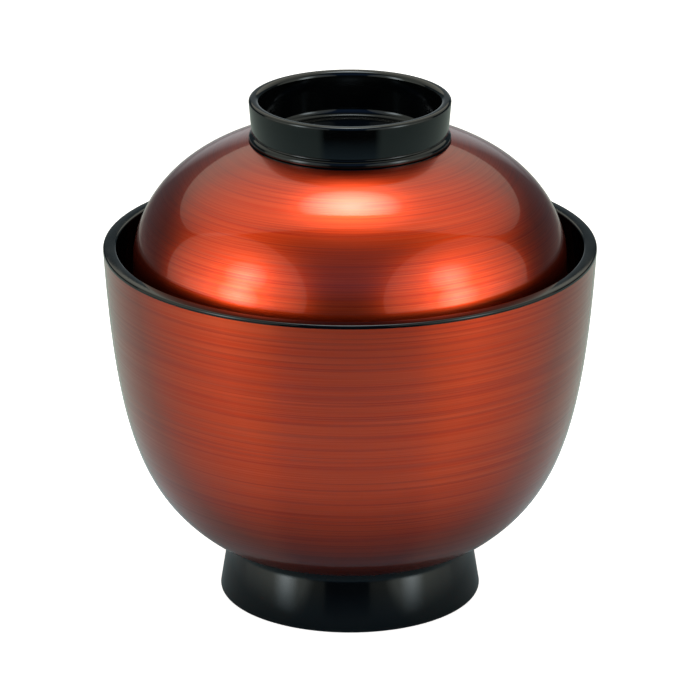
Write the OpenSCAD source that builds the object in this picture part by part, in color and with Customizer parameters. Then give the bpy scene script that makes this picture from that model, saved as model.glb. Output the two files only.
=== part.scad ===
// Lacquer soup bowl with a drop-in domed lid, as a set of turned pieces.
// Every piece is a profile in the radius and height plane, turned about Z.
// Z is up and the foot stands on z = 0.

/* [Bowl] */
// Outer diameter of the bowl at its rim
bowl_d = 110; // [96:1:140]
// Height of the rim above the table
bowl_h = 82; // [74:0.1:100]
// Width of the flat rim, which is the wall there
lip_w = 2.9; // [2.2:0.1:3.6]
// Height of the bare black band below the rim
lip_band = 0.8; // [0.7:0.1:3]
// Width of the flat underside between the foot ring and the belly
shoulder_w = 4.3; // [3:0.1:8]
// Thickness of the bowl's bottom
base_t = 5.6; // [4.8:0.1:8]
// Diameter of the flat floor inside the bowl
floor_d = 28; // [16:1:36]
// Thickness of the brushed copper lacquer coat
coat_t = 0.3; // [0.2:0.05:0.5]

/* [Foot ring] */
// Height of the foot ring below the bowl
foot_h = 14.5; // [9:0.1:18]
// Diameter of the foot ring where it meets the bowl
foot_top_d = 54.6; // [46:0.2:64]
// Diameter of the foot ring at the table
foot_d = 58.2; // [50:0.2:68]
// Wall of the foot ring at the table
foot_wall = 4.4; // [3.6:0.1:5]
// Wall of the foot ring where it meets the bowl
foot_top_wall = 4.2; // [3.6:0.1:5]
// Rounding of the foot ring's lower edges
foot_round = 0.8; // [0.3:0.1:1.4]
// Height of the cove where the foot ring sweeps out under the bowl
foot_cove = 3.2; // [1:0.1:5]

/* [Lid] */
// Depth of the lid's edge below the rim of the bowl
lid_sink = 15.5; // [10:0.5:20]
// Height of the dome from the lid's edge to the finger ring
dome_h = 39.6; // [34:0.2:46]
// Height of the steep skirt between the edge and the dome
skirt_h = 12.7; // [8:0.1:15]
// Outward sweep of the skirt, as a change of radius
skirt_sweep = 1.9; // [0.8:0.1:2.6]
// Wall of the lid
lid_wall = 2.4; // [1.8:0.1:3.2]
// Height of the bare black band at the lid's edge
lid_band = 0.8; // [0.7:0.1:3]
// Running clearance between the lid's edge and the bowl's wall
lid_gap = 0.3; // [0.2:0.05:0.6]

/* [Finger ring] */
// Height of the finger ring above the dome
ring_h = 9.6; // [7:0.1:14]
// Diameter of the finger ring at its top
ring_d = 44.8; // [38:0.2:52]
// Flare of the wall above the base bead, as a change of radius
ring_flare = 0.55; // [0:0.05:1]
// Width of the finger ring's flat top
ring_w = 2.4; // [2:0.1:3.2]
// Rounding of the outer edge of the top
ring_out_round = 0.6; // [0.3:0.1:0.9]
// Rounding of the inner edge of the top
ring_in_round = 1.1; // [0.3:0.1:1.1]
// Height of the base bead
bead_h = 1.7; // [1.4:0.1:2.4]
// Height of the groove between the base bead and the wall
groove_h = 0.6; // [0.3:0.05:1]
// Thickness of the floor inside the finger ring
ring_floor = 1.2; // [1:0.1:2.4]
// Rounding between the floor and the wall inside the finger ring
ring_cove = 2; // [0.6:0.1:2.4]

/* [Fits] */
// Depth of the seats that locate the foot ring and the finger ring
seat_depth = 1.8; // [0.8:0.1:2]
// Side clearance in those seats
seat_gap = 0.1; // [0.05:0.05:0.2]
// Rounding of the rim and of the lid's edge
edge_round = 0.4; // [0.2:0.05:0.6]

/* [Hidden] */
$fn = 180;

// Steps along a long curve and round a small corner
curve_steps = 36;
corner_steps = 8;
overrun = 1;

// Bowl
bowl_r = bowl_d / 2;
mouth_r = bowl_r - lip_w;
foot_top_r = foot_top_d / 2;
coat_top_z = bowl_h - lip_band;
body_base_z = foot_h + coat_t;
floor_z = foot_h + base_t;

// Handles of the two bowl curves, as shares of the radius and of the height that each curve spans
belly_radius_shares = [0.955, 0.855];
belly_drop_shares = [0.64, 0.844];
hollow_radius_shares = [0.906, 0.768];
hollow_drop_share = 0.9;
shoulder_round_share = 0.05;

// Seat of the foot ring: a tongue on the ring in a groove in the bowl
foot_in_top_r = foot_top_r - foot_top_wall;
tongue_w = foot_top_wall / 3;
tongue_in_r = foot_in_top_r + tongue_w;
tongue_out_r = tongue_in_r + tongue_w;

// Curves: blends between handles, and arcs
function blend(a, b, t) = a + (b - a) * t;
function handles_at(h, t) = [for (i = [0 : len(h) - 2]) blend(h[i], h[i + 1], t)];
function curve_point(h, t) = len(h) == 1 ? h[0] : curve_point(handles_at(h, t), t);
function curve(h, steps = curve_steps) = [for (i = [0 : steps]) curve_point(h, i / steps)];
function arc(centre, r, from, to, steps = corner_steps) =
    [for (i = [0 : steps]) centre + r * [cos(blend(from, to, i / steps)), sin(blend(from, to, i / steps))]];
function backwards(path) = [for (i = [len(path) - 1 : -1 : 0]) path[i]];
function without_last(path) = [for (i = [0 : len(path) - 2]) path[i]];

// The same path moved in by a depth, square to its own direction; right of the travel is inside
function heading(path, i) = path[min(i + 1, len(path) - 1)] - path[max(i - 1, 0)];
function moved_in(path, i, depth) =
    let (d = heading(path, i)) path[i] + depth * [d.y, -d.x] / norm(d);
function inset(path, depth) = [for (i = [0 : len(path) - 1]) moved_in(path, i, depth)];
function with_first_z(path, z) = [for (i = [0 : len(path) - 1]) i == 0 ? [path[i].x, z] : path[i]];

// Bowl outside: from the band under the rim down the belly and round to the flat underside
shoulder_r = foot_top_r + shoulder_w;
belly_fall = coat_top_z - foot_h;
belly_handles = [
    [bowl_r, coat_top_z],
    [bowl_r * belly_radius_shares[0], coat_top_z - belly_fall * belly_drop_shares[0]],
    [bowl_r * belly_radius_shares[1], coat_top_z - belly_fall * belly_drop_shares[1]],
    [shoulder_r, foot_h]
];
belly_share = 1 - shoulder_round_share;
belly_curve = [for (i = [0 : curve_steps]) curve_point(belly_handles, belly_share * i / curve_steps)];
shoulder_start = belly_curve[curve_steps];
shoulder_run = shoulder_w / 3;
shoulder_handles = [shoulder_start, [shoulder_r, foot_h], [shoulder_r - shoulder_run, foot_h]];
shoulder_curve = curve(shoulder_handles, corner_steps);
bowl_outside = concat(without_last(belly_curve), shoulder_curve);

// Bowl inside: from the mouth down to the flat floor
hollow_fall = bowl_h - floor_z;
hollow_handles = [
    [mouth_r, bowl_h - edge_round],
    [mouth_r * hollow_radius_shares[0], bowl_h - hollow_fall * hollow_drop_share],
    [mouth_r * hollow_radius_shares[1], floor_z],
    [floor_d / 2, floor_z]
];
bowl_inside = curve(hollow_handles);
function hollow_radius(z) = lookup(z, [for (p = backwards(bowl_inside)) [p.y, p.x]]);

// Bowl coat inside face, which is also the outside of the black body
coat_seat = with_first_z(inset(bowl_outside, coat_t), coat_top_z);

// Lid
edge_z = bowl_h - lid_sink;
edge_r = hollow_radius(edge_z) - lid_gap;
dome_r = edge_r - skirt_sweep;
dome_z = edge_z + skirt_h;
seat_z = edge_z + dome_h;
ring_r = ring_d / 2;
recess_z = seat_z - seat_depth;
recess_r = ring_r - bead_h;
ceiling_z = recess_z - lid_wall;

// Handles of the dome's curve, as shares of its run out from the ring and of its fall
crown_run_share = 0.827;
crown_fall_share = 0.225;
side_fall_share = 0.238;

// Finger ring
ring_top_z = seat_z + ring_h;
ring_in_r = ring_r - ring_w;
bead_r = bead_h / 2;
bead_top_z = seat_z + bead_h;
ring_floor_z = recess_z + ring_floor;

// Lid outside: from the finger ring's seat over the dome to the edge of the skirt
dome_run = dome_r - ring_r;
dome_fall = seat_z - dome_z;
dome_handles = [
    [ring_r, seat_z],
    [ring_r + dome_run * crown_run_share, seat_z - dome_fall * crown_fall_share],
    [dome_r, dome_z + dome_fall * side_fall_share],
    [dome_r, dome_z]
];
skirt_end_z = edge_z + edge_round;
skirt_handles = [[dome_r, dome_z], [dome_r, blend(skirt_end_z, dome_z, 1 / 2)], [edge_r, skirt_end_z]];
lid_outside = concat(without_last(curve(dome_handles)), curve(skirt_handles, corner_steps * 2));

function above(path, z) = [for (p = path) if (p.y > z) p];
lid_coat_z = edge_z + lid_band;
lid_coat_r = lookup(lid_coat_z, [for (p = backwards(lid_outside)) [p.y, p.x]]);
lid_coat_outside = concat(above(lid_outside, lid_coat_z), [[lid_coat_r, lid_coat_z]]);
lid_coat_seat = inset(lid_coat_outside, coat_t);

module turned() {
    rotate_extrude() children();
}

// Black bowl: wall, rim, inner floor and the groove that takes the foot ring
module bowl_body() {
    color([0.06, 0.06, 0.07]) turned() difference() {
        polygon(concat(
            [[0, floor_z], [0, body_base_z], [foot_top_r, body_base_z]],
            backwards(coat_seat),
            [[bowl_r, coat_top_z]],
            arc([bowl_r - edge_round, bowl_h - edge_round], edge_round, 0, 90),
            arc([mouth_r + edge_round, bowl_h - edge_round], edge_round, 90, 180),
            bowl_inside
        ));
        translate([tongue_in_r - seat_gap, body_base_z - overrun])
            square([tongue_out_r - tongue_in_r + 2 * seat_gap, seat_depth + seat_gap + overrun]);
    }
}

// Copper coat on the outside of the bowl, from under the rim to the foot ring
module bowl_lacquer() {
    color([0.72, 0.29, 0.17]) turned() polygon(concat(
        bowl_outside,
        [[foot_top_r, foot_h], [foot_top_r, body_base_z]],
        backwards(coat_seat)
    ));
}

// Black flared foot with a cove under the bowl, and the tongue that locates it there
module foot_ring() {
    outer_r = foot_d / 2;
    inner_r = outer_r - foot_wall;
    neck_r = foot_top_r - seat_gap;
    wall_end = [foot_top_r, foot_h - coat_t];
    cove_start = blend(wall_end, [outer_r, foot_round], foot_cove / foot_h);
    cove_end = wall_end + [shoulder_w / 2, 0];
    color([0.05, 0.05, 0.06]) turned() polygon(concat(
        [[foot_in_top_r, body_base_z], [inner_r, foot_round]],
        arc([inner_r + foot_round, foot_round], foot_round, 180, 270),
        arc([outer_r - foot_round, foot_round], foot_round, 270, 360),
        curve([cove_start, wall_end, cove_end], corner_steps * 2),
        [
            [cove_end.x, foot_h],
            [neck_r, foot_h],
            [neck_r, body_base_z],
            [tongue_out_r, body_base_z],
            [tongue_out_r, body_base_z + seat_depth],
            [tongue_in_r, body_base_z + seat_depth],
            [tongue_in_r, body_base_z]
        ]
    ));
}

// Black lid shell, with the recess in its crown for the finger ring
module lid_body() {
    inner_edge_r = edge_r - lid_wall;
    wall_inside = [for (p = inset(lid_outside, lid_wall)) if (p.y < ceiling_z && p.y > skirt_end_z) p];
    color([0.06, 0.06, 0.07]) turned() polygon(concat(
        [[0, ceiling_z], [0, recess_z], [recess_r, recess_z]],
        [[recess_r, seat_z], [ring_r - coat_t, seat_z]],
        lid_coat_seat,
        [[lid_coat_r, lid_coat_z]],
        arc([edge_r - edge_round, edge_z + edge_round], edge_round, 0, -90),
        arc([inner_edge_r + edge_round, edge_z + edge_round], edge_round, 270, 180),
        backwards(wall_inside)
    ));
}

// Copper coat on the outside of the lid, from the finger ring to above the edge
module lid_lacquer() {
    color([0.76, 0.32, 0.18]) turned() polygon(concat(lid_coat_outside, backwards(lid_coat_seat)));
}

// Black finger ring: a cup with a groove over its base bead, seated in the crown of the lid
module finger_ring() {
    bead_end = 60;
    groove_r = groove_h / 2;
    groove_centre = [ring_r - bead_r + groove_r, bead_top_z + groove_r];
    color([0.05, 0.05, 0.06]) turned() polygon(concat(
        [[0, ring_floor_z], [0, recess_z], [recess_r - seat_gap, recess_z], [recess_r - seat_gap, seat_z]],
        arc([ring_r - bead_r, seat_z + bead_r], bead_r, -90, bead_end),
        arc(groove_centre, groove_r, 180 + bead_end, 90),
        [[ring_r - ring_flare, bead_top_z + groove_h]],
        arc([ring_r - ring_out_round, ring_top_z - ring_out_round], ring_out_round, 0, 90),
        arc([ring_in_r + ring_in_round, ring_top_z - ring_in_round], ring_in_round, 90, 180),
        arc([ring_in_r - ring_cove, ring_floor_z + ring_cove], ring_cove, 0, -90)
    ));
}

bowl_body();
bowl_lacquer();
foot_ring();
lid_body();
lid_lacquer();
finger_ring();
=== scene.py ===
import math

import bpy
from mathutils import Matrix, Vector


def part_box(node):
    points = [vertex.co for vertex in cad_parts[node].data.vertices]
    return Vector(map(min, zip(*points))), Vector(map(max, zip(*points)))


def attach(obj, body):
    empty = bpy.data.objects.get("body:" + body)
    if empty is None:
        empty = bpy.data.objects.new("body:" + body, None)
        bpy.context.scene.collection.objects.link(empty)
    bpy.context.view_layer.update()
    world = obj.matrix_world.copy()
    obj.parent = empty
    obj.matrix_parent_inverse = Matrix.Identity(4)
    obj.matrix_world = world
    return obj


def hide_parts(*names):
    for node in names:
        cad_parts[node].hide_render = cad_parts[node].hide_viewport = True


# Lacquer soup bowl with lid: six turned pieces in black lacquer and brushed copper lacquer.
# Each piece is an outline of (radius, height) points turned about the upright axis, in metres.
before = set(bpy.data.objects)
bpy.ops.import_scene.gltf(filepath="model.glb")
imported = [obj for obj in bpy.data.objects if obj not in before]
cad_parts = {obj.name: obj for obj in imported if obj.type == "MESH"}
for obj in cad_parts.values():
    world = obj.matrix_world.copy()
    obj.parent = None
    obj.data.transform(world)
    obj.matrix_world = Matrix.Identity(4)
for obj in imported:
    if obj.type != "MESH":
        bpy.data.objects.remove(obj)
for start_name in ("Cube", "Light", "Camera"):
    start_object = bpy.data.objects.get(start_name)
    if start_object:
        bpy.data.objects.remove(start_object)
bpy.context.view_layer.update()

MM = 0.001
BLACK = (0, 0, 0)
WHITE = (1, 1, 1)


def half_width(node):
    """The radius of a round node, inside its facets."""
    low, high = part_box(node)
    return min(high.x, high.y, -low.x, -low.y)


def bottom(node):
    """The height of a node's lowest point."""
    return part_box(node)[0].z


def top(node):
    """The height of a node's highest point."""
    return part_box(node)[1].z


# Bowl
bowl_r = half_width("bowl_body")
bowl_h = top("bowl_body")
coat_top_z = top("bowl_lacquer")
foot_h = bottom("bowl_lacquer")
lip_w = 2.9 * MM
coat_t = 0.3 * MM
base_t = 5.6 * MM
floor_r = 14 * MM
shoulder_w = 4.3 * MM
edge_round = 0.4 * MM
seat_gap = 0.1 * MM
seat_depth = 1.8 * MM
mouth_r = bowl_r - lip_w
body_base_z = foot_h + coat_t
floor_z = foot_h + base_t

# Foot ring
foot_r = half_width("foot_ring")
foot_top_r = 27.3 * MM
foot_wall = 4.4 * MM
foot_top_wall = 4.2 * MM
foot_round = 0.8 * MM
foot_cove = 3.2 * MM
foot_in_top_r = foot_top_r - foot_top_wall
tongue_in_r = foot_in_top_r + foot_top_wall / 3
tongue_out_r = tongue_in_r + foot_top_wall / 3
shoulder_r = foot_top_r + shoulder_w

# Lid
edge_r = half_width("lid_body")
edge_z = bottom("lid_body")
seat_z = top("lid_body")
lid_wall = 2.4 * MM
lid_band = 0.8 * MM
skirt_sweep = 1.9 * MM
skirt_h = 12.7 * MM
dome_r = edge_r - skirt_sweep
dome_z = edge_z + skirt_h
skirt_end_z = edge_z + edge_round
lid_coat_z = edge_z + lid_band

# Finger ring
ring_r = half_width("finger_ring")
ring_top_z = top("finger_ring")
recess_z = bottom("finger_ring")
ring_w = 2.4 * MM
ring_flare = 0.55 * MM
ring_out_round = 0.6 * MM
ring_in_round = 1.1 * MM
bead_h = 1.7 * MM
groove_h = 0.6 * MM
ring_floor = 1.2 * MM
ring_cove = 2 * MM
recess_r = ring_r - bead_h
ceiling_z = recess_z - lid_wall

# Handles of the curves, as shares of the radius or run, and of the fall
belly_upper = (0.955, 0.64)
belly_lower = (0.855, 0.844)
belly_share = 0.95
hollow_upper = (0.906, 0.9)
hollow_lower_r = 0.768
dome_upper = (0.827, 0.225)
dome_lower = 0.238

# Fineness of the turned pieces
CURVE_STEPS = 56
CORNER_STEPS = 8
TURN_STEPS = 192
WELD = 0.0005 * MM
CREASE_DEGREES = 30


def point(radius, height):
    """A point of an outline."""
    return Vector((radius, height))


def curve(handles, steps=CURVE_STEPS, share=1.0):
    """Points along a curve drawn in by its handles, up to a share of its length."""
    points = []
    for i in range(steps + 1):
        row = handles
        while len(row) > 1:
            row = [a.lerp(b, share * i / steps) for a, b in zip(row, row[1:])]
        points.append(row[0].copy())
    return points


def corner(centre, radius, start, end):
    """Points round a corner, from one angle to another in degrees."""
    angles = [math.radians(start + (end - start) * i / CORNER_STEPS) for i in range(CORNER_STEPS + 1)]
    return [centre + radius * point(math.cos(a), math.sin(a)) for a in angles]


def inset(path, depth):
    """The same path moved in by a depth, square to its own direction."""
    moved = []
    for i, here in enumerate(path):
        along = path[min(i + 1, len(path) - 1)] - path[max(i - 1, 0)]
        moved.append(here + depth * point(along.y, -along.x).normalized())
    return moved


def at_height(path, height):
    """The point where a falling path passes a height."""
    for above, below in zip(path, path[1:]):
        if above.y >= height >= below.y:
            return above.lerp(below, (above.y - height) / (above.y - below.y))


# Curves that two pieces share
belly_fall = coat_top_z - foot_h
belly_handles = [
    point(bowl_r, coat_top_z),
    point(bowl_r * belly_upper[0], coat_top_z - belly_fall * belly_upper[1]),
    point(bowl_r * belly_lower[0], coat_top_z - belly_fall * belly_lower[1]),
    point(shoulder_r, foot_h),
]
belly = curve(belly_handles, share=belly_share)
shoulder_handles = [
    belly[-1],
    point(shoulder_r, foot_h),
    point(shoulder_r - shoulder_w / 3, foot_h),
]
shoulder = curve(shoulder_handles, CORNER_STEPS)
bowl_outside = belly[:-1] + shoulder
bowl_coat_inside = inset(bowl_outside, coat_t)
bowl_coat_inside[0].y = coat_top_z

hollow_fall = bowl_h - floor_z
bowl_inside = curve([
    point(mouth_r, bowl_h - edge_round),
    point(mouth_r * hollow_upper[0], bowl_h - hollow_fall * hollow_upper[1]),
    point(mouth_r * hollow_lower_r, floor_z),
    point(floor_r, floor_z),
])

dome_run = dome_r - ring_r
dome_fall = seat_z - dome_z
dome = curve([
    point(ring_r, seat_z),
    point(ring_r + dome_run * dome_upper[0], seat_z - dome_fall * dome_upper[1]),
    point(dome_r, dome_z + dome_fall * dome_lower),
    point(dome_r, dome_z),
])
skirt = curve([
    point(dome_r, dome_z),
    point(dome_r, (skirt_end_z + dome_z) / 2),
    point(edge_r, skirt_end_z),
], CORNER_STEPS * 2)
lid_outside = dome[:-1] + skirt
lid_coat_end = at_height(lid_outside, lid_coat_z)
lid_coat_outside = [p for p in lid_outside if p.y > lid_coat_z] + [lid_coat_end]
lid_coat_inside = inset(lid_coat_outside, coat_t)


def bowl_outline():
    """The black bowl, with the groove that holds the foot's tongue."""
    groove_top_z = body_base_z + seat_depth + seat_gap
    return [
        point(0, body_base_z),
        point(tongue_in_r - seat_gap, body_base_z),
        point(tongue_in_r - seat_gap, groove_top_z),
        point(tongue_out_r + seat_gap, groove_top_z),
        point(tongue_out_r + seat_gap, body_base_z),
        point(foot_top_r, body_base_z),
        *reversed(bowl_coat_inside),
        point(bowl_r, coat_top_z),
        *corner(point(bowl_r - edge_round, bowl_h - edge_round), edge_round, 0, 90),
        *corner(point(mouth_r + edge_round, bowl_h - edge_round), edge_round, 90, 180)[:-1],
        *bowl_inside,
        point(0, floor_z),
    ]


def bowl_coat_outline():
    """The copper coat, from under the rim down to the neck of the foot."""
    return [
        *bowl_outside,
        point(foot_top_r, foot_h),
        point(foot_top_r, body_base_z),
        *reversed(bowl_coat_inside),
        bowl_outside[0],
    ]


def foot_outline():
    """The flared foot, with a cove under the bowl and a tongue on top."""
    inner_r = foot_r - foot_wall
    neck_r = foot_top_r - seat_gap
    tongue_top_z = body_base_z + seat_depth
    wall_end = point(foot_top_r, foot_h - coat_t)
    cove_start = wall_end.lerp(point(foot_r, foot_round), foot_cove / foot_h)
    cove_end = wall_end + point(shoulder_w / 2, 0)
    return [
        point(foot_in_top_r, body_base_z),
        *corner(point(inner_r + foot_round, foot_round), foot_round, 180, 270),
        *corner(point(foot_r - foot_round, foot_round), foot_round, 270, 360),
        *curve([cove_start, wall_end, cove_end], CORNER_STEPS * 2),
        point(cove_end.x, foot_h),
        point(neck_r, foot_h),
        point(neck_r, body_base_z),
        point(tongue_out_r, body_base_z),
        point(tongue_out_r, tongue_top_z),
        point(tongue_in_r, tongue_top_z),
        point(tongue_in_r, body_base_z),
        point(foot_in_top_r, body_base_z),
    ]


def lid_outline():
    """The black lid, with the recess that holds the finger ring."""
    inner_edge_r = edge_r - lid_wall
    wall_inside = [p for p in inset(lid_outside, lid_wall) if skirt_end_z < p.y < ceiling_z]
    return [
        point(0, recess_z),
        point(recess_r, recess_z),
        point(recess_r, seat_z),
        point(ring_r - coat_t, seat_z),
        *lid_coat_inside,
        lid_coat_end,
        *corner(point(edge_r - edge_round, skirt_end_z), edge_round, 0, -90),
        *corner(point(inner_edge_r + edge_round, skirt_end_z), edge_round, 270, 180),
        *reversed(wall_inside),
        point(0, ceiling_z),
    ]


def lid_coat_outline():
    """The copper coat, from the finger ring down to the black edge."""
    return [*lid_coat_outside, *reversed(lid_coat_inside), lid_coat_outside[0]]


def finger_ring_outline():
    """The finger ring: a cup with a fine groove over its base bead."""
    bead_r = bead_h / 2
    groove_r = groove_h / 2
    groove_centre = point(ring_r - bead_r + groove_r, seat_z + bead_h + groove_r)
    out_centre = point(ring_r - ring_out_round, ring_top_z - ring_out_round)
    in_r = ring_r - ring_w
    in_centre = point(in_r + ring_in_round, ring_top_z - ring_in_round)
    floor_top_z = recess_z + ring_floor
    return [
        point(0, recess_z),
        point(recess_r - seat_gap, recess_z),
        point(recess_r - seat_gap, seat_z),
        *corner(point(ring_r - bead_r, seat_z + bead_r), bead_r, -90, 60),
        *corner(groove_centre, groove_r, 240, 90),
        point(ring_r - ring_flare, seat_z + bead_h + groove_h),
        *corner(out_centre, ring_out_round, 0, 90),
        *corner(in_centre, ring_in_round, 90, 180),
        *corner(point(in_r - ring_cove, floor_top_z + ring_cove), ring_cove, 0, -90),
        point(0, floor_top_z),
    ]


def turned(name, outline, node, body, finish):
    """Turn an outline into a closed piece that stands for a node and rides on its body."""
    bpy.ops.object.select_all(action="DESELECT")
    bpy.ops.mesh.primitive_plane_add(size=coat_t, location=(0, 0, 0))
    piece = bpy.context.object
    piece.name = name
    piece.data.name = name
    bpy.ops.object.mode_set(mode="EDIT")
    bpy.ops.mesh.merge(type="CENTER")
    bpy.ops.transform.translate(value=(outline[0].x, 0, outline[0].y))
    for here, there in zip(outline, outline[1:]):
        step = there - here
        if step.length > WELD:
            bpy.ops.mesh.extrude_vertices_move(TRANSFORM_OT_translate={"value": (step.x, 0, step.y)})
    bpy.ops.mesh.select_all(action="SELECT")
    bpy.ops.mesh.spin(steps=TURN_STEPS, angle=math.tau, center=(0, 0, 0), axis=(0, 0, 1))
    bpy.ops.mesh.select_all(action="SELECT")
    bpy.ops.mesh.remove_doubles(threshold=WELD)
    bpy.ops.mesh.normals_make_consistent(inside=False)
    bpy.ops.object.mode_set(mode="OBJECT")
    bpy.ops.object.shade_smooth_by_angle(angle=math.radians(CREASE_DEGREES))
    piece.data.materials.append(finish)
    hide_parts(node)
    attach(piece, body)
    return piece


# Nodes and links
def add(tree, kind, **settings):
    """A new node, with its own settings."""
    node = tree.nodes.new(kind)
    for key, value in settings.items():
        setattr(node, key, value)
    return node


def feed(tree, node, **values):
    """Set or link a node's sockets by their names, with spaces written as underscores."""
    for key, value in values.items():
        socket = node.inputs[key.replace("_", " ")]
        if isinstance(value, bpy.types.NodeSocket):
            tree.links.new(value, socket)
        else:
            socket.default_value = value
    return node


def arithmetic(tree, operation, *values):
    """A Math node's output for numbers or sockets."""
    node = add(tree, "ShaderNodeMath", operation=operation)
    for socket, value in zip(node.inputs, values):
        if isinstance(value, bpy.types.NodeSocket):
            tree.links.new(value, socket)
        else:
            socket.default_value = value
    return node.outputs[0]


def remap(tree, value, low, high, to_low, to_high):
    """A value carried from one range to another, with its ends held."""
    node = add(tree, "ShaderNodeMapRange")
    feed(tree, node, Value=value, From_Min=low, From_Max=high, To_Min=to_low, To_Max=to_high)
    return node.outputs["Result"]


def group_tree(name, inputs, outputs):
    """An empty node group, with its named inputs and outputs."""
    tree = bpy.data.node_groups.new(name, "ShaderNodeTree")
    for label, kind, value in inputs:
        socket = tree.interface.new_socket(label, in_out="INPUT", socket_type=kind)
        if value is not None:
            socket.default_value = value
    for label, kind in outputs:
        tree.interface.new_socket(label, in_out="OUTPUT", socket_type=kind)
    return tree, add(tree, "NodeGroupInput").outputs, add(tree, "NodeGroupOutput")


def place_group(tree, group, **values):
    """A group's node in a material, with its own values."""
    return feed(tree, add(tree, "ShaderNodeGroup", node_tree=group), **values).outputs


def brush_rings_group():
    """Rings left by a brush on a turning piece: fine hairs, wider streaks and broad bands that
    follow the turning and fade along it."""
    hair_turns = 2
    band_streaks = 5
    band_turns = 0.9
    tree, given, result = group_tree(
        "brush_rings",
        [
            ("Vector", "NodeSocketVector", None),
            ("Rise", "NodeSocketFloat", 1.0),
            ("Hair width", "NodeSocketFloat", 0.3 * MM),
            ("Streak width", "NodeSocketFloat", 0.75 * MM),
            ("Streak turns", "NodeSocketFloat", 0.5),
        ],
        [("Hairs", "NodeSocketFloat"), ("Streaks", "NodeSocketFloat"), ("Bands", "NodeSocketFloat")],
    )
    axes = feed(tree, add(tree, "ShaderNodeSeparateXYZ"), Vector=given["Vector"]).outputs
    flat = feed(tree, add(tree, "ShaderNodeCombineXYZ"), X=axes["X"], Y=axes["Y"])
    length = add(tree, "ShaderNodeVectorMath", operation="LENGTH")
    tree.links.new(flat.outputs[0], length.inputs[0])
    unit = add(tree, "ShaderNodeVectorMath", operation="NORMALIZE")
    tree.links.new(flat.outputs[0], unit.inputs[0])
    around = feed(tree, add(tree, "ShaderNodeSeparateXYZ"), Vector=unit.outputs[0]).outputs
    run = arithmetic(tree, "MULTIPLY_ADD", axes["Z"], given["Rise"], length.outputs["Value"])

    def ringed_noise(width, turns, detail):
        """Noise drawn out round the piece: one width across, and a few fades in a turn."""
        across = arithmetic(tree, "DIVIDE", run, width)
        coords = feed(
            tree, add(tree, "ShaderNodeCombineXYZ"),
            X=arithmetic(tree, "MULTIPLY", around["X"], turns),
            Y=arithmetic(tree, "MULTIPLY", around["Y"], turns),
            Z=across,
        )
        noise = feed(
            tree, add(tree, "ShaderNodeTexNoise"),
            Vector=coords.outputs[0], Scale=1.0, Detail=detail, Roughness=0.5,
        )
        return noise.outputs["Fac"]

    finer_turns = arithmetic(tree, "MULTIPLY", given["Streak turns"], hair_turns)
    band_width = arithmetic(tree, "MULTIPLY", given["Streak width"], band_streaks)
    feed(
        tree, result,
        Hairs=ringed_noise(given["Hair width"], finer_turns, detail=2),
        Streaks=ringed_noise(given["Streak width"], given["Streak turns"], detail=1),
        Bands=ringed_noise(band_width, band_turns, detail=1),
    )
    return tree


def polish_group():
    """A hand polish: a faint cloudiness and the slight swell of a poured coat."""
    tree, given, result = group_tree(
        "hand_polish",
        [
            ("Vector", "NodeSocketVector", None),
            ("Cloud size", "NodeSocketFloat", 9 * MM),
            ("Swell size", "NodeSocketFloat", 2.4 * MM),
        ],
        [("Cloud", "NodeSocketFloat"), ("Swell", "NodeSocketFloat")],
    )

    def plain_noise(size, detail):
        noise = feed(
            tree, add(tree, "ShaderNodeTexNoise"),
            Vector=given["Vector"], Scale=arithmetic(tree, "DIVIDE", 1.0, size), Detail=detail,
        )
        return noise.outputs["Fac"]

    feed(
        tree, result,
        Cloud=plain_noise(given["Cloud size"], detail=4),
        Swell=plain_noise(given["Swell size"], detail=1),
    )
    return tree


def new_material(name):
    """A material with its shader, and the piece's own coordinates."""
    material = bpy.data.materials.new(name)
    material.use_nodes = True
    tree = material.node_tree
    shader = tree.nodes["Principled BSDF"]
    place = add(tree, "ShaderNodeTexCoord").outputs["Object"]
    return material, tree, shader, place


def blended_colour(tree, share, first, second):
    """A colour part of the way from the first to the second."""
    node = add(tree, "ShaderNodeMix", data_type="RGBA")
    feed(tree, node, Factor=share)
    for label, value in (("A", first), ("B", second)):
        socket = [s for s in node.inputs if s.name == label and s.type == "RGBA"][0]
        if isinstance(value, bpy.types.NodeSocket):
            tree.links.new(value, socket)
        else:
            socket.default_value = (*value, 1)
    return [s for s in node.outputs if s.type == "RGBA"][0]


def bumped(tree, height, strength, distance):
    """A normal tilted by a height."""
    return feed(
        tree, add(tree, "ShaderNodeBump"), Height=height, Strength=strength, Distance=distance,
    ).outputs["Normal"]


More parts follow.
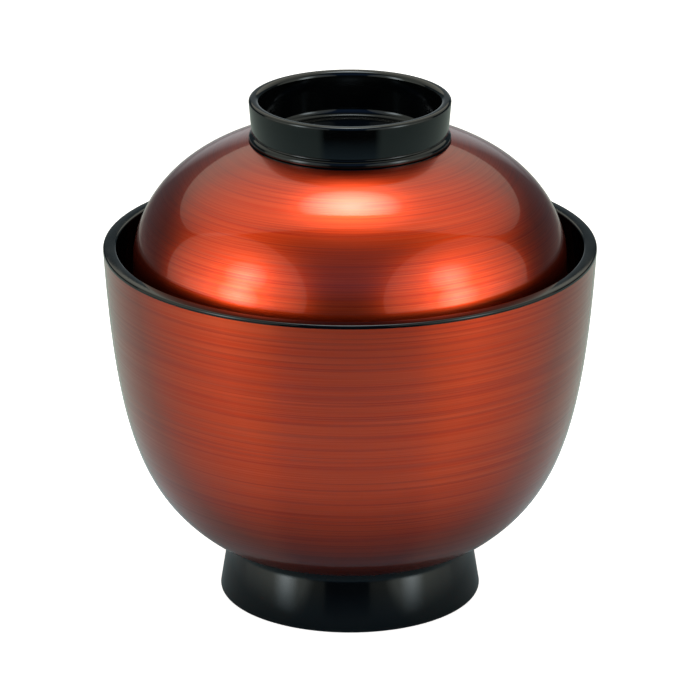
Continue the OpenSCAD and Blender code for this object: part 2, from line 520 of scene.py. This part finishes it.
def copper_lacquer(name, rings, rise, streak_width):
    """Copper-red lacquer brushed in rings under a clear coat. Rise is 1 where the outline
    climbs outwards, as on the bowl, and -1 where it falls, as on the lid. At a slant the ground
    is darkened towards black: painted shade at the edges, where the view grazes the piece."""
    ground = (0.83, 0.062, 0.006), (0.94, 0.088, 0.014)
    streak_colour = (0.62, 0.036, 0.010)
    hair_colours = (0.82, 0.036, 0.0), (0.95, 0.116, 0.036)
    hair_share = 0.5
    painted_slant_shade = 0.6
    material, tree, shader, place = new_material(name)
    brush = place_group(tree, rings, Vector=place, Rise=rise, Streak_width=streak_width)
    hairs = remap(tree, brush["Hairs"], 0.34, 0.66, 0.0, 1.0)
    streaks = remap(tree, brush["Streaks"], 0.34, 0.52, 0.0, 1.0)
    bands = remap(tree, brush["Bands"], 0.3, 0.7, 0.0, 1.0)
    streaked = blended_colour(tree, streaks, streak_colour, blended_colour(tree, bands, *ground))
    lined = blended_colour(tree, hairs, *hair_colours)
    brushed = blended_colour(tree, hair_share, streaked, lined)
    # Painted shade: the base colour darkens towards black as the surface turns away from the view.
    slant = feed(tree, add(tree, "ShaderNodeLayerWeight"), Blend=0.5).outputs["Facing"]
    depth = remap(tree, slant, 0.22, 0.55, 0.0, painted_slant_shade)
    feed(
        tree, shader,
        Base_Color=blended_colour(tree, depth, brushed, BLACK),
        Metallic=0.96,
        Roughness=remap(tree, hairs, 0.0, 1.0, 0.35, 0.30),
        Anisotropic=0.35,
        Anisotropic_Rotation=0.25,
        Tangent=add(tree, "ShaderNodeTangent", direction_type="RADIAL", axis="Z").outputs[0],
        Coat_Weight=1.0,
        Coat_Roughness=0.045,
        Coat_IOR=1.42,
        Normal=bumped(tree, hairs, 0.1, 0.01 * MM),
    )
    return material


def black_lacquer(polish):
    """Black lacquer polished to a deep shine."""
    blacks = (0.0008, 0.0011, 0.0013), (0.0014, 0.0019, 0.0022)
    material, tree, shader, place = new_material("black_lacquer_polished")
    film = place_group(tree, polish, Vector=place)
    cloud = remap(tree, film["Cloud"], 0.3, 0.7, 0.0, 1.0)
    feed(
        tree, shader,
        Base_Color=blended_colour(tree, cloud, *blacks),
        Roughness=remap(tree, cloud, 0.0, 1.0, 0.05, 0.09),
        IOR=1.5,
        Specular_Tint=(0.82, 0.94, 1, 1),
        Normal=bumped(tree, film["Swell"], 0.12, 0.02 * MM),
    )
    return material


rings = brush_rings_group()
polish = polish_group()
bowl_copper = copper_lacquer("copper_lacquer_bowl", rings, 1.0, 0.75 * MM)
lid_copper = copper_lacquer("copper_lacquer_lid", rings, -1.0, 0.42 * MM)
black = black_lacquer(polish)

turned("turned_bowl", bowl_outline(), "bowl_body", "bowl", black)
turned("bowl_copper_coat", bowl_coat_outline(), "bowl_lacquer", "bowl", bowl_copper)
turned("turned_foot", foot_outline(), "foot_ring", "bowl", black)
turned("turned_lid", lid_outline(), "lid_body", "lid", black)
turned("lid_copper_coat", lid_coat_outline(), "lid_lacquer", "lid", lid_copper)
turned("turned_finger_ring", finger_ring_outline(), "finger_ring", "lid", black)


# Stage: a plain white floor that keeps a soft shadow, and a white surround.
# To the lacquer the table is a dark polished one with a painted pool of light round the bowl and
# painted shade near the foot, and the room is a dim cool one.
def white_floor():
    """White to the camera. In the lacquer its colour holds painted light: a painted pool of light in
    front, a paler painted one on each side, a dark wedge of painted shade between them and painted shade
    near the foot, and it shows pale panels where it is seen at a shallow angle. Ranges are in metres
    from the axis, unless they say otherwise."""
    floor_radius = 4
    floor_drop = 0.02 * MM
    front_near, front_far = (0.02, 0.11), (0.18, 0.34)
    front_share_in_foot_shade = 0.6
    side_near, side_share_in_foot_shade = (0.03, 0.13), 0.35
    shallow_slants = (0.70, 0.86)
    wedge_lean, wedge_edges = 0.6, (-0.06, 0.1)
    # Colours of the painted pools of light, and of the floor's mirror and its plain white.
    front_colour, painted_side_pool_colour = (0.32, 0.48, 0.62), (0.42, 0.52, 0.52)
    panel_colour, plain_colour = (0.85, 0.85, 0.85), (0.8, 0.8, 0.8)
    camera_glow = 0.85

    bpy.ops.object.select_all(action="DESELECT")
    bpy.ops.mesh.primitive_circle_add(
        vertices=96, radius=floor_radius, fill_type="NGON", location=(0, 0, -floor_drop),
    )
    floor = bpy.context.object
    floor.name = "floor"
    material = bpy.data.materials.new("floor_white")
    material.use_nodes = True
    tree = material.node_tree
    rays = add(tree, "ShaderNodeLightPath").outputs
    mirrored = rays["Is Glossy Ray"]
    seen = arithmetic(tree, "MAXIMUM", rays["Is Camera Ray"], rays["Is Transmission Ray"])
    facing = feed(tree, add(tree, "ShaderNodeLayerWeight"), Blend=0.5).outputs["Facing"]
    shallow = remap(tree, facing, *shallow_slants, 0.0, 1.0)
    spot = add(tree, "ShaderNodeTexCoord").outputs["Object"]
    axes = feed(tree, add(tree, "ShaderNodeSeparateXYZ"), Vector=spot).outputs
    away = add(tree, "ShaderNodeVectorMath", operation="LENGTH")
    tree.links.new(spot, away.inputs[0])
    distance = away.outputs["Value"]
    sideways = arithmetic(tree, "ABSOLUTE", axes["X"])
    # Painted shade: a dark wedge in front of the bowl, between the side pools.
    wedge = arithmetic(tree, "MULTIPLY_ADD", axes["Y"], wedge_lean, sideways)
    beside = remap(tree, arithmetic(tree, "DIVIDE", wedge, distance), *wedge_edges, 0.0, 1.0)
    # Painted shade: the pools darken close to the foot.
    front_rise = remap(tree, distance, *front_near, front_share_in_foot_shade, 1.0)
    front_fall = remap(tree, distance, *front_far, 1.0, 0.0)
    painted_front_light = arithmetic(tree, "MULTIPLY", front_rise, front_fall)
    side_rise = remap(tree, distance, *side_near, side_share_in_foot_shade, 1.0)
    painted_side_light = arithmetic(tree, "MULTIPLY", beside, side_rise)
    # Painted light: the pools of light are floor colour, seen only in the lacquer.
    painted_front_pool = blended_colour(tree, painted_front_light, BLACK, front_colour)
    pool = blended_colour(tree, painted_side_light, painted_front_pool, painted_side_pool_colour)
    panels = blended_colour(tree, beside, BLACK, panel_colour)
    polished = blended_colour(tree, shallow, pool, panels)
    feed(
        tree, tree.nodes["Principled BSDF"],
        Base_Color=blended_colour(tree, mirrored, plain_colour, polished),
        Metallic=arithmetic(tree, "MULTIPLY", mirrored, shallow),
        Roughness=remap(tree, mirrored, 0.0, 1.0, 0.5, 0.28),
        Specular_IOR_Level=0.0,
        Emission_Color=(*WHITE, 1),
        Emission_Strength=arithmetic(tree, "MULTIPLY", camera_glow, seen),
    )
    floor.data.materials.append(material)


def white_surround():
    """White to the camera. To the lacquer it is pale right behind the bowl, a little blue high
    up in front, and dim elsewhere. Ranges are shares of a direction's unit length."""
    behind_range = (0.94, 0.99)
    front_range, high_range = (-0.9, -0.3), (0.2, 0.5)
    room_colour, front_colour = (0.05, 0.07, 0.08), (0.09, 0.18, 0.42)
    behind_colour, even_colour = (0.5, 0.56, 0.58), (0.25, 0.25, 0.25)

    world = bpy.data.worlds.new("surround")
    bpy.context.scene.world = world
    world.use_nodes = True
    tree = world.node_tree
    way = add(tree, "ShaderNodeTexCoord").outputs["Generated"]
    axes = feed(tree, add(tree, "ShaderNodeSeparateXYZ"), Vector=way).outputs
    behind = remap(tree, axes["Y"], *behind_range, 0.0, 1.0)
    front = remap(tree, axes["Y"], *front_range, 1.0, 0.0)
    high = remap(tree, axes["Z"], *high_range, 0.0, 1.0)
    front_high = arithmetic(tree, "MULTIPLY", front, high)
    room = blended_colour(tree, front_high, room_colour, front_colour)
    mirrored = blended_colour(tree, behind, room, behind_colour)
    rays = add(tree, "ShaderNodeLightPath").outputs
    unseen = blended_colour(tree, rays["Is Glossy Ray"], even_colour, mirrored)
    seen = arithmetic(tree, "MAXIMUM", rays["Is Camera Ray"], rays["Is Transmission Ray"])
    colour = blended_colour(tree, seen, unseen, WHITE)
    feed(tree, tree.nodes["Background"], Color=colour, Strength=1.0)


aim = Vector((0, 0, 0.5 * ring_top_z))


def softbox(name, azimuth, elevation, distance, size, brightness, reach, rise=0, tone=WHITE):
    """A soft oval panel square to a direction from the bowl, and raised in its own plane.
    Azimuth 0 is the camera's side, and it grows to the right. Size is width and height.
    Brightness is the peak seen square on, and it falls to nothing at the reach, in degrees."""
    a = math.radians(azimuth)
    e = math.radians(elevation)
    way = Vector((math.sin(a) * math.cos(e), -math.cos(a) * math.cos(e), math.sin(e)))
    across = Vector((math.cos(a), math.sin(a), 0))
    half_reach = math.radians(reach)
    peak_share = 1 - half_reach / math.tan(half_reach)
    area = size[0] * size[1] * math.pi / 4
    panel = bpy.data.lights.new(name, "AREA")
    panel.shape = "ELLIPSE"
    panel.size, panel.size_y = size
    panel.spread = 2 * half_reach
    panel.color = tone
    panel.energy = brightness * peak_share * math.pi * area
    lamp = bpy.data.objects.new(name, panel)
    bpy.context.scene.collection.objects.link(lamp)
    lamp.location = aim + distance * way + rise * way.cross(across)
    lamp.rotation_euler = Matrix((across, way.cross(across), way)).transposed().to_euler()


def studio():
    """A wide panel, a low strip and two stacked glows on each side, and a panel and a glow
    overhead. The glow's share evens out the two sides."""
    warm = (1, 0.93, 0.76)
    panel = {"distance": 0.9, "size": (1.7, 1.72), "brightness": 1.04, "reach": 64, "tone": warm}
    strip = {"distance": 0.9, "size": (1.0, 0.3), "brightness": 0.45, "reach": 60, "tone": warm}
    glow = {"distance": 0.85, "size": (0.4, 0.42), "reach": 13.5}
    for side, panel_azimuth, glow_azimuth, share in (("left", -66, -60.5, 0.84), ("right", 61, 58, 0.7)):
        softbox(side + "_panel", panel_azimuth, elevation=8, **panel)
        softbox(side + "_strip", panel_azimuth, elevation=2, **strip)
        softbox(side + "_glow_high", glow_azimuth, elevation=24, brightness=6.2 * share, **glow)
        softbox(side + "_glow_low", glow_azimuth, elevation=6, brightness=6.5 * share, **glow)
    softbox(
        "top_panel", azimuth=0, elevation=110, distance=0.85, size=(2.6, 1.46),
        brightness=0.98, reach=71, rise=0.24, tone=warm,
    )
    softbox(
        "top_glow", azimuth=0, elevation=101, distance=0.78, size=(0.56, 0.28),
        brightness=11, reach=16,
    )


def product_camera():
    """A long lens 20 degrees above the table, as in the photograph."""
    look_down = math.radians(20)
    distance = 1.1111
    target = Vector((0, 0, 56.58 * MM))
    lens = bpy.data.cameras.new("camera")
    lens.lens = 254.5
    lens.sensor_width = 36
    lens.clip_start = 0.05
    lens.clip_end = 50
    camera = bpy.data.objects.new("camera", lens)
    bpy.context.scene.collection.objects.link(camera)
    camera.location = target + distance * Vector((0, -math.cos(look_down), math.sin(look_down)))
    camera.rotation_euler = (math.pi / 2 - look_down, 0, 0)
    bpy.context.scene.camera = camera


white_floor()
white_surround()
studio()
product_camera()
bpy.context.scene.view_settings.view_transform = "Standard"
